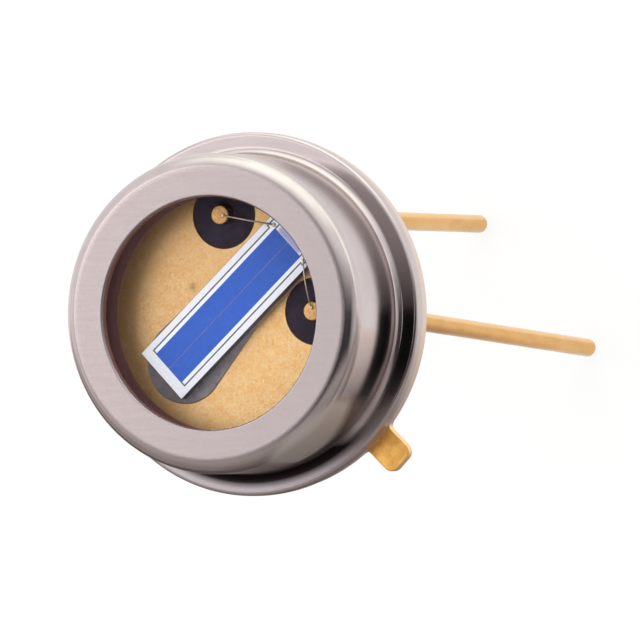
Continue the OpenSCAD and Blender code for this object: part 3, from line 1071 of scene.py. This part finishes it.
def floor_material():
    """White to the eye and in reflections, lit otherwise to keep a soft shadow, and clear from below."""
    s = Shader("floor_white")
    rays = s.node("ShaderNodeLightPath").outputs
    seen = s.most(rays["Is Camera Ray"], s.most(rays["Is Glossy Ray"], rays["Is Transmission Ray"]))
    plain = s.node("ShaderNodeBsdfDiffuse", Color=FLOOR_TONE).outputs["BSDF"]
    above = s.layers(s.both(seen, FLOOR_GLOW), plain, s.glow(WHITE))
    clear = s.node("ShaderNodeBsdfTransparent").outputs["BSDF"]
    under = s.node("ShaderNodeNewGeometry").outputs["Backfacing"]
    return s.finish(s.layers(under, above, clear))


def flag_material():
    """A dark card that lights nothing."""
    s = Shader("window_dark")
    return s.finish(s.glow(colour(FLAG_LEVEL, FLAG_LEVEL, FLAG_LEVEL)))


def tent_material():
    """Light tent as polished metal sees it: white, dim towards -Y, with a dark strip round the lens."""
    s = Shader("tent")
    way = s.vector("NORMALIZE", s.node("ShaderNodeTexCoord").outputs["Object"])["Vector"]
    x, y, z = (s.axis(way, name) for name in "XYZ")
    side = s.both(s.span(y, -0.5, 0.0, 0.46, 1.0), s.span(y, -1.0, -0.5, 0.7, 1.0))
    side = s.both(side, s.most(s.span(z, 0.0, 0.3, 0.5, 1.0), s.span(y, -0.4, -0.1)))
    strip = s.span(s.math("ABSOLUTE", s.math("ADD", y, 0.13)), 0.10, 0.60)
    strip = s.most(strip, s.below(x, -0.28, -0.08))
    strip = s.most(strip, s.span(x, 0.75, 1.0, 0.05, 0.75))
    lamp = s.span(s.along(way, GLOW_WAY), 0.72, 0.95)
    level = s.math("ADD", s.math("MINIMUM", side, strip), s.both(lamp, KEY_GLOW))
    tint = s.mix(lamp, s.mix(side, WARM, WHITE), CREAM)
    return s.finish(s.glow(tint, level))


def shade_material():
    """Dark cloth that lies on the floor on the -Y side."""
    s = Shader("shade")
    here = s.place()
    x, y = s.axis(here, "X"), s.axis(here, "Y")
    dark = s.math("ADD", s.span(x, -2.0, 40.0, 0.12, 0.45), s.span(y, -120.0, -20.0, 0.1, 0.0))
    dark = s.most(dark, s.span(x, -90.0, -25.0, 0.6, 0.0))
    level = s.span(y, -11.0, SHADE_EDGE_Y)
    level = s.math("ADD", level, s.both(dark, s.math("SUBTRACT", 1.0, level)))
    return s.finish(s.glow(WARM, level))


def sweep_material():
    """The white floor on the +Y side, where the key lamp makes it brightest."""
    s = Shader("sweep")
    here = s.place()
    x, y = s.axis(here, "X"), s.axis(here, "Y")
    level = s.both(s.span(y, SWEEP_EDGE_Y, 60.0, 0.0, 0.75), s.span(x, -40.0, -10.0))
    return s.finish(s.glow(CREAM, s.math("ADD", level, 1.0)))


def stage_object(name, bm, material):
    obj = linked(name, to_mesh(name, bm))
    obj.data.materials.append(material)
    return obj


def only_reflected(obj):
    """A card that shows in polished surfaces and nowhere else."""
    obj.visible_camera = False
    obj.visible_diffuse = False
    obj.visible_transmission = False
    obj.visible_volume_scatter = False
    obj.visible_shadow = False


def sheet(rows):
    """An open mesh over rows of points."""
    bm = bmesh.new()
    made = [[bm.verts.new(p) for p in row] for row in rows]
    for low, high in zip(made, made[1:]):
        for i in range(len(low) - 1):
            bm.faces.new((low[i], low[i + 1], high[i + 1], high[i]))
    return bm


def cloth(x_low, x_high, y_low, y_high, z):
    """A level oblong sheet."""
    return sheet([[(x, y, z) for x in (x_low, x_high)] for y in (y_low, y_high)])


def disc(centre, facing, radius):
    """A round card that looks along facing."""
    turn = facing.to_track_quat("Z", "Y").to_matrix()
    bm = bmesh.new()
    edge = [Vector((radius * math.cos(a), radius * math.sin(a), 0)) for a in full_turn(CARD_STEPS)]
    bm.faces.new([bm.verts.new(centre + turn @ p) for p in edge])
    return bm


def direction(azimuth, elevation):
    """Unit vector from +X towards +Y by azimuth and up by elevation, in degrees."""
    a, e = math.radians(azimuth), math.radians(elevation)
    return Vector((math.cos(e) * math.cos(a), math.cos(e) * math.sin(a), math.sin(e)))


def make_stage():
    floor_z = CAD_LOW.z / MM - FLOOR_DROP
    cloth_z = floor_z + CLOTH_RISE
    floor = disc(Vector((0, 0, floor_z)), Vector((0, 0, 1)), FLOOR_R)
    stage_object("floor", floor, floor_material())
    tent = sheet([[direction(a, e) * TENT_R for a in TENT_AZIMUTHS] for e in TENT_ELEVATIONS])
    only_reflected(stage_object("tent", tent, tent_material()))
    shade = cloth(-CLOTH_R, CLOTH_R, -CLOTH_R, SHADE_EDGE_Y, cloth_z)
    only_reflected(stage_object("shade", shade, shade_material()))
    bright = cloth(SWEEP_EDGE_X, CLOTH_R, SWEEP_EDGE_Y, CLOTH_R, cloth_z)
    only_reflected(stage_object("sweep", bright, sweep_material()))
    flag_way = direction(FLAG_AZIMUTH, FLAG_ELEVATION)
    flag = disc(flag_way * FLAG_DISTANCE, -flag_way, FLAG_R)
    only_reflected(stage_object("window_flag", flag, flag_material()))


def make_world():
    """White to the eye and in reflections, and a plain soft light otherwise."""
    world = bpy.data.worlds.new("studio")
    bpy.context.scene.world = world
    world.use_nodes = True
    tree = world.node_tree
    back = tree.nodes["Background"]
    rays = tree.nodes.new("ShaderNodeLightPath").outputs
    value = rays["Is Camera Ray"]
    for name in ("Is Glossy Ray", "Is Transmission Ray"):
        largest = tree.nodes.new("ShaderNodeMath")
        largest.operation = "MAXIMUM"
        tree.links.new(value, largest.inputs[0])
        tree.links.new(rays[name], largest.inputs[1])
        value = largest.outputs["Value"]
    level = tree.nodes.new("ShaderNodeMapRange")
    level.inputs["To Min"].default_value = WORLD_LIGHT
    level.inputs["To Max"].default_value = 1.0
    tree.links.new(value, level.inputs["Value"])
    tree.links.new(level.outputs["Result"], back.inputs["Strength"])
    back.inputs["Color"].default_value = WHITE


def area_lamp(name, place, size, power, mirrored):
    """A round lamp aimed at the part, which polished surfaces may see or not."""
    lamp = bpy.data.lights.new(name, "AREA")
    lamp.shape = "DISK"
    lamp.size = size
    lamp.energy = power
    obj = linked(name, lamp)
    obj.location = place
    obj.rotation_euler = (-place).to_track_quat("-Z", "Y").to_euler()
    obj.visible_glossy = mirrored


def make_camera():
    data = bpy.data.cameras.new("camera")
    data.angle = VIEW_FIELD
    data.clip_start = CLIP_START
    back = Vector((math.sin(VIEW_AZIMUTH) * math.cos(VIEW_ELEVATION),
                   -math.cos(VIEW_AZIMUTH) * math.cos(VIEW_ELEVATION), math.sin(VIEW_ELEVATION)))
    level = Vector((math.cos(VIEW_AZIMUTH), math.sin(VIEW_AZIMUTH), 0))
    right = Matrix.Rotation(VIEW_ROLL, 3, back) @ level
    axes = Matrix((right, back.cross(right), back)).transposed()
    obj = linked("camera", data)
    obj.matrix_world = Matrix.Translation((VIEW_AIM + back * VIEW_DISTANCE) * MM) @ axes.to_4x4()
    bpy.context.scene.camera = obj


make_part()
make_stage()
make_world()
area_lamp("key", KEY_PLACE, KEY_SIZE, KEY_POWER, False)
area_lamp("top", TOP_PLACE, TOP_SIZE, TOP_POWER, True)
make_camera()
bpy.context.scene.view_settings.view_transform = "Standard"
